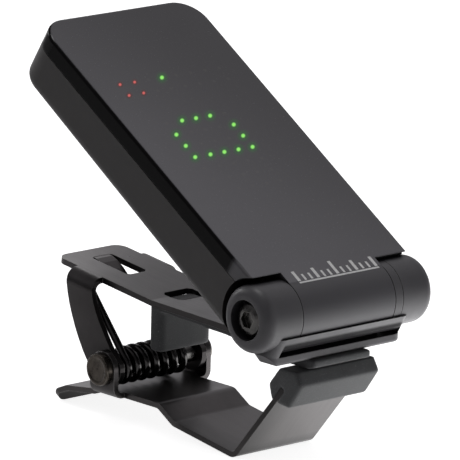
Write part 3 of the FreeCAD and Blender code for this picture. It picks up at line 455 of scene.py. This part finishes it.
HINGE_PLASTIC = dict(dark=(0.060, 0.058, 0.063), light=(0.077, 0.075, 0.081), rough=(0.36, 0.48))
RESIN_ROUGH = (0.1, 0.2)
MATERIALS = {
    # the two sheet materials and the bracket material carry painted shade by place
    "sheet": plated_sheet("plated_sheet", lower_shade),
    "sheet_up": plated_sheet("plated_sheet_upper", upper_shade),
    "bracket": moulded("bracket_plastic", **HINGE_PLASTIC, shade=recess_shade),
    "pin": turned_metal("bronzed_pin", dark=(0.060, 0.052, 0.045), light=(0.12, 0.105, 0.09),
                        rough=(0.22, 0.4), wear=(0.5, 0.46, 0.40)),
    "black": turned_metal("black_steel", dark=(0.09, 0.088, 0.085), light=(0.17, 0.165, 0.16),
                          rough=(0.2, 0.36), wear=(0.32, 0.31, 0.29)),
    "bright": turned_metal("bright_screw", dark=(0.42, 0.42, 0.43), light=(0.66, 0.66, 0.66),
                           rough=(0.12, 0.25)),
    "brass": turned_metal("contact_brass", dark=(0.62, 0.46, 0.22), light=(0.78, 0.62, 0.34),
                          rough=(0.2, 0.35)),
    "can": turned_metal("cell_can", dark=(0.5, 0.5, 0.49), light=(0.7, 0.7, 0.69),
                        rough=(0.2, 0.36)),
    "spring": turned_metal("spring_wire", dark=(0.045, 0.043, 0.043), light=(0.085, 0.082, 0.081),
                           rough=(0.09, 0.17), wear=(0.2, 0.2, 0.2)),
    "case": moulded("case_plastic", dark=(0.024, 0.0215, 0.021), light=(0.034, 0.031, 0.0305),
                    worn=(0.20, 0.19, 0.18)),
    "hinge": moulded("hinge_plastic", **HINGE_PLASTIC),
    "door": moulded("door_plastic", dark=(0.018, 0.017, 0.017), light=(0.026, 0.025, 0.025),
                    grain=3600.0, depth=0.00003),
    "chip": moulded("chip_epoxy", dark=(0.012, 0.012, 0.013), light=(0.02, 0.02, 0.021),
                    worn=(0.05, 0.05, 0.05)),
    "shield": moulded("shield_film", dark=(0.008, 0.008, 0.008), light=(0.014, 0.014, 0.014),
                      worn=(0.03, 0.03, 0.03)),
    "wire": moulded("wire_jacket", dark=(0.35, 0.02, 0.015), light=(0.5, 0.035, 0.03),
                    worn=(0.6, 0.1, 0.08)),
    "resin_r": moulded("resin_red", dark=(0.5, 0.03, 0.02), light=(0.7, 0.05, 0.04),
                       rough=RESIN_ROUGH, worn=(0.8, 0.2, 0.15)),
    "resin_g": moulded("resin_green", dark=(0.08, 0.5, 0.10), light=(0.12, 0.7, 0.16),
                       rough=RESIN_ROUGH, worn=(0.3, 0.8, 0.3)),
    "resin_w": moulded("resin_clear", dark=(0.5, 0.5, 0.42), light=(0.65, 0.65, 0.56),
                       rough=RESIN_ROUGH, worn=(0.7, 0.7, 0.65)),
    "pad": rubber("pad_rubber", dark=(0.040, 0.041, 0.043), light=(0.064, 0.066, 0.068),
                  speck=(0.20, 0.20, 0.205)),
    "button": rubber("button_rubber", dark=(0.022, 0.022, 0.023), light=(0.034, 0.034, 0.035),
                     speck=(0.09, 0.09, 0.09)),
    "face": smoked_face("smoked_face"),
    "board": board_mask("board_mask"),
    "ink": printed("white_ink"),
}

# CAD piece: its material
DRESS = {
    "lower_jaw_plate": "sheet", "upper_jaw_plate": "sheet_up", "pivot_pin": "pin",
    "pivot_sleeve": "black", "hinge_bracket": "bracket", "bracket_screws": "bright",
    "hinge_screw": "black", "hinge_nut": "bright", "friction_washers": "bright",
    "hinge_end_cap": "hinge", "front_cover": "face", "rear_case": "case",
    "hinge_bush": "bright", "circuit_board": "board", "red_leds": "resin_r",
    "green_leds": "resin_g", "unlit_leds": "resin_w", "light_shield": "shield",
    "controller_chip": "chip", "power_switch": "chip", "piezo_sensor": "brass",
    "piezo_leads": "wire", "coin_cell": "can", "battery_negative_contact": "brass",
    "battery_positive_contact": "brass", "battery_door": "door",
    "battery_door_screw": "bright", "case_screws": "bright", "power_button": "button",
    "torsion_spring": "spring", "upper_jaw_pad": "pad", "lower_jaw_pad": "pad",
}
for node, key in DRESS.items():
    slots = NODES[node].data.materials
    if not slots:
        slots.append(MATERIALS[key])
    for k in range(len(slots)):
        slots[k] = MATERIALS[key]


# ---------------------------------------------------------------- mesh helpers
def add_object(name, data):
    made = bpy.data.objects.new(name, data)
    bpy.context.scene.collection.objects.link(made)
    return made


def add_mesh(name, bm):
    mesh = bpy.data.meshes.new(name)
    bm.to_mesh(mesh)
    bm.free()
    return add_object(name, mesh)


def set_smooth(mesh, smooth):
    for polygon in mesh.polygons:
        polygon.use_smooth = smooth


def piece(name, bm, key, body=None, smooth=True):
    """An added piece with its material, riding on a moving body if one is given."""
    bmesh.ops.recalc_face_normals(bm, faces=bm.faces)
    made = add_mesh(name, bm)
    made.data.materials.append(MATERIALS[key])
    set_smooth(made.data, smooth)
    if body:
        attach(made, body)
    return made


def tube(points, radius, sides=14):
    """A swept round wire with rounded ends, its cross-section carried along without twist."""
    points = [Vector(p) for p in points]
    last = len(points) - 1
    tangents = [(points[min(i + 1, last)] - points[max(i - 1, 0)]).normalized()
                for i in range(last + 1)]
    across = tangents[0].orthogonal().normalized()
    stations = []
    for point, along in zip(points, tangents):
        across = (across - along * across.dot(along)).normalized()
        stations.append((point, along, across, radius))

    def cap(station, sign, angles):
        point, along, across, _ = station
        return [(point + along * sign * radius * 0.5 * math.sin(math.radians(a)),
                 along, across, radius * math.cos(math.radians(a))) for a in angles]

    bm = bmesh.new()
    rings = []
    caps = cap(stations[0], -1, (75, 50, 25)), cap(stations[-1], 1, (25, 50, 75))
    for point, along, across, size in caps[0] + stations + caps[1]:
        side = along.cross(across)
        turns = [2 * math.pi * k / sides for k in range(sides)]
        rings.append([bm.verts.new(point + (across * math.cos(a) + side * math.sin(a)) * size)
                      for a in turns])
    for a, b in zip(rings, rings[1:]):
        for k in range(sides):
            j = (k + 1) % sides
            bm.faces.new((a[k], a[j], b[j], b[k]))
    bm.faces.new(rings[0][::-1])
    bm.faces.new(rings[-1])
    return bm


def prism(bm, first, second):
    """A closed solid between two outlines of head-frame points."""
    low = [bm.verts.new(head(*p)) for p in first]
    high = [bm.verts.new(head(*p)) for p in second]
    bm.faces.new(high)
    bm.faces.new(low[::-1])
    for k in range(len(low)):
        j = (k + 1) % len(low)
        bm.faces.new((low[k], low[j], high[j], high[k]))


# ---------------------------------------------------------------- torsion spring
# one wire: its -X leg lies on the upper plate, its +X leg on the tail of the lower plate
COIL_RADIUS = 2.2  # to the middle of the wire, mm
WIRE_RADIUS = 0.00055  # m
COIL_X0, COIL_X1 = -6.4, 4.6
COIL_TURNS = 6.0
START_ANGLE, END_ANGLE = 138.5, 258.7 + 360.0 * COIL_TURNS  # degrees
COIL_STEP = 9.0  # degrees
START_LEG = (-11.9, -10.0, -8.0, -6.0, -4.0, -2.4, -1.0)  # distances along the tangent, mm
END_LEG = (1.0, 2.4, 4.0, 6.0, 7.9)


def spring_point(x, degrees, run=0.0):
    """A point of the coil, or one a signed distance off it along the tangent."""
    cos, sin = math.cos(math.radians(degrees)), math.sin(math.radians(degrees))
    y = COIL_RADIUS * cos - sin * run
    z = COIL_RADIUS * sin + cos * run
    return clip(x, PIN_Y + y, PIN_Z + z)


def torsion_spring():
    sweep = END_ANGLE - START_ANGLE
    steps = int(sweep / COIL_STEP)
    path = [spring_point(COIL_X0, START_ANGLE, run) for run in START_LEG]
    for i in range(steps + 1):
        f = i / steps
        path.append(spring_point(COIL_X0 + (COIL_X1 - COIL_X0) * f, START_ANGLE + sweep * f))
    path += [spring_point(COIL_X1, END_ANGLE, run) for run in END_LEG]
    coil = piece("spring_wire", tube(path, WIRE_RADIUS), "spring")
    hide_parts("torsion_spring")
    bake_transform(coil)


torsion_spring()


# ---------------------------------------------------------------- rubber pads
def soft_pad(name, node, body):
    """The CAD pad remeshed fine and smoothed, so that its edges soften."""
    pad = add_object(name, NODES[node].data.copy())
    bm = bmesh.new()
    bm.from_mesh(pad.data)
    bmesh.ops.remove_doubles(bm, verts=bm.verts, dist=1e-6)
    bm.to_mesh(pad.data)
    bm.free()
    remesh = pad.modifiers.new("remesh", "REMESH")
    remesh.mode = "VOXEL"
    remesh.voxel_size = 0.00022
    soft = pad.modifiers.new("soft", "SMOOTH")
    soft.factor = 0.5
    soft.iterations = 3
    bpy.context.view_layer.update()
    depsgraph = bpy.context.evaluated_depsgraph_get()
    mesh = bpy.data.meshes.new_from_object(pad.evaluated_get(depsgraph))
    pad.modifiers.clear()
    pad.data = mesh
    mesh.materials.clear()
    mesh.materials.append(MATERIALS["pad"])
    set_smooth(mesh, True)
    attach(pad, body)
    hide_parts(node)


soft_pad("upper_pad_moulding", "upper_jaw_pad", "upper_jaw")
soft_pad("lower_pad_moulding", "lower_jaw_pad", "lower_jaw")


# ---------------------------------------------------------------- printed scale, head frame, mm
SCALE_X = 0.2  # middle of the scale
TICK_PITCH = 1.2
TICKS_EACH_SIDE = 6
TICK_FOOT = 1.0
MIDDLE_TALL, MAJOR_TALL, MINOR_TALL = 2.5, 1.9, 1.15
MAJOR_HALF, MINOR_HALF = 0.27, 0.19  # half widths
LINE_S0, LINE_S1 = 0.55, 0.85  # the line under the ticks
INK_N0, INK_N1 = 4.795, 4.812


def printed_scale():
    """Ticks along the strip under the display, every third one longer, over a thin line."""
    bm = bmesh.new()

    def bar(x, half, s0, s1):
        corners = [(x - half, s0), (x + half, s0), (x + half, s1), (x - half, s1)]
        prism(bm, [(*c, INK_N0) for c in corners], [(*c, INK_N1) for c in corners])

    for k in range(-TICKS_EACH_SIDE, TICKS_EACH_SIDE + 1):
        major = k % 3 == 0
        tall = MIDDLE_TALL if k == 0 else (MAJOR_TALL if major else MINOR_TALL)
        half = MAJOR_HALF if major else MINOR_HALF
        bar(SCALE_X + k * TICK_PITCH, half, TICK_FOOT, TICK_FOOT + tall)
    bar(SCALE_X, TICKS_EACH_SIDE * TICK_PITCH + MAJOR_HALF, LINE_S0, LINE_S1)
    piece("printed_scale", bm, "ink", "head", smooth=False)


printed_scale()

# ---------------------------------------------------------------- notch shade strip, head frame, mm
STRIP_INNER, STRIP_OUTER = 4.87, 5.5  # radii about the hinge axis
STRIP_X0, STRIP_X1 = 8.5, 14.2


def notch_shade_strip():
    """A dark curved strip at the +X end that fills the gap behind the display edge: a dark sheet standing
    in for the shade in that gap.
    """
    arc = [math.radians(26 + 4 * k) for k in range(8)]
    outline = [(STRIP_INNER * math.cos(a), STRIP_INNER * math.sin(a)) for a in arc]
    outline += [(STRIP_OUTER * math.cos(a), STRIP_OUTER * math.sin(a)) for a in arc[::-1]]
    bm = bmesh.new()
    prism(bm, [(STRIP_X0, s, n) for s, n in outline], [(STRIP_X1, s, n) for s, n in outline])
    piece("notch_shade_strip", bm, "shield", "head", smooth=False)


notch_shade_strip()


# ---------------------------------------------------------------- floor
def floor_paper():
    """White paper: the camera sees an even glow, the product a bounce stronger towards +X."""
    dark, light = (0.88, 0.88, 0.88), (0.92, 0.92, 0.92)
    bounce_axis = (1.0, -0.25, 0.0)
    bounce_centre = (0.02, 0.0, 0.0)
    seen_strength = 0.86
    g = material_graph("floor_paper")
    paper = g.node("BsdfDiffuse", {0: g.mix(g.noise(scale=40.0, detail=3.0), dark, light)})
    side = g.remap(g.dot(g.place, bounce_axis), over=(-0.025, 0.030), to=(0.05, 2.0),
                   smooth=True)
    reach = g.remap(g.vector("DISTANCE", g.place, bounce_centre), over=(0.035, 0.11),
                    to=(1.0, 0.22), smooth=True)
    camera_ray = g.node("LightPath").outputs["Is Camera Ray"]
    amount = g.node("Mix", {0: camera_ray, 2: g.product(side, reach), 3: seen_strength})
    glow = g.node("Emission", {"Strength": amount.outputs[0]})
    both = g.node("AddShader", {0: paper.outputs[0], 1: glow.outputs[0]})
    return g.finish(both.outputs[0])


bm = bmesh.new()
bmesh.ops.create_grid(bm, x_segments=1, y_segments=1, size=6.0)
floor = add_mesh("floor", bm)
floor.data.materials.append(floor_paper())

# ---------------------------------------------------------------- world
# soft panels of light: direction, cosine where it starts and where it is full, strength
LOBES = [
    ((0.66, 0.10, 0.74), 0.72, 1.0, 0.46),
    ((-0.62, 0.22, 0.75), 0.72, 1.0, 0.22),
    ((0.3, 0.9, 0.30), 0.6, 1.0, 0.22),
    ((0.656, 0.75, 0.02), 0.84, 1.0, 0.36),
]
AMBIENT = 0.095
ROOM_COLOR = (0.985, 0.965, 1.0)
WHITE = (1, 1, 1)


def studio():
    """Soft panels light the product, while the camera sees plain white."""
    world = bpy.data.worlds.new("studio")
    bpy.context.scene.world = world
    g = Graph(world, "OutputWorld")
    room = g.node("TexCoord").outputs["Generated"]
    panels = [g.remap(g.dot(room, Vector(direction).normalized()), over=(start, full),
                      to=(0.0, strength), smooth=True)
              for direction, start, full, strength in LOBES]
    lit = g.node("Background", {0: ROOM_COLOR, 1: g.total(*panels, AMBIENT)})
    seen = g.node("Background", {0: WHITE, 1: 1.0})
    camera_ray = g.node("LightPath").outputs["Is Camera Ray"]
    mixer = g.node("MixShader", {0: camera_ray, 1: lit.outputs[0], 2: seen.outputs[0]})
    g.finish(mixer.outputs[0])


studio()

# ---------------------------------------------------------------- lights
# name, place, target, size (all m), power (W)
LIGHTS = [
    ("key", (-0.04, 0.12, 0.60), (0, 0, 0.03), (0.20, 0.16), 0.72),
    ("glint", (0.10, -0.55, 0.30), (0, 0, 0.02), (0.05, 0.05), 0.16),
    ("back", (-0.10, 0.60, 0.22), (0, 0, 0.03), (0.20, 0.10), 0.45),
    ("rear", (0.070, 0.115, 0.085), (-0.004, 0.030, 0.022), (0.025, 0.025), 0.0045),
]
for name, place, target, size, power in LIGHTS:
    data = bpy.data.lights.new(name, "AREA")
    data.shape = "RECTANGLE"
    data.size, data.size_y = size
    data.energy = power
    light = add_object(name, data)
    light.location = place
    aim = Vector(target) - Vector(place)
    light.rotation_euler = aim.to_track_quat("-Z", "Y").to_euler()

# ---------------------------------------------------------------- camera
# view axes before a small turn about X, and the camera's place along them in mm
VIEW_TURN = Matrix.Rotation(math.radians(-1.77), 3, "X")
RIGHT = VIEW_TURN @ Vector((0.7418, -0.6706, 0.0))
UP = VIEW_TURN @ Vector((0.1410, 0.1559, 0.9777))
BACK = VIEW_TURN @ Vector((-0.6556, -0.7253, 0.2102))
ALONG_RIGHT, ALONG_UP, ALONG_BACK = -13.569, 10.153, 895.6


def add_camera():
    data = bpy.data.cameras.new("camera")
    data.lens = 508.8
    data.sensor_width = 36.0
    data.clip_start = 0.01
    data.clip_end = 20.0
    camera = add_object("camera", data)
    place = (RIGHT * ALONG_RIGHT + UP * ALONG_UP + BACK * ALONG_BACK + SHIFT) / 1000.0
    # the measured axes are squared up, keeping the first
    x_axis = RIGHT.normalized()
    z_axis = (BACK - x_axis * BACK.dot(x_axis)).normalized()
    y_axis = z_axis.cross(x_axis)
    turn = Matrix((x_axis, y_axis, z_axis)).transposed().to_4x4()
    camera.matrix_world = Matrix.Translation(place) @ turn
    bpy.context.scene.camera = camera


add_camera()
bpy.context.scene.view_settings.view_transform = "Standard"

bpy.context.view_layer.update()
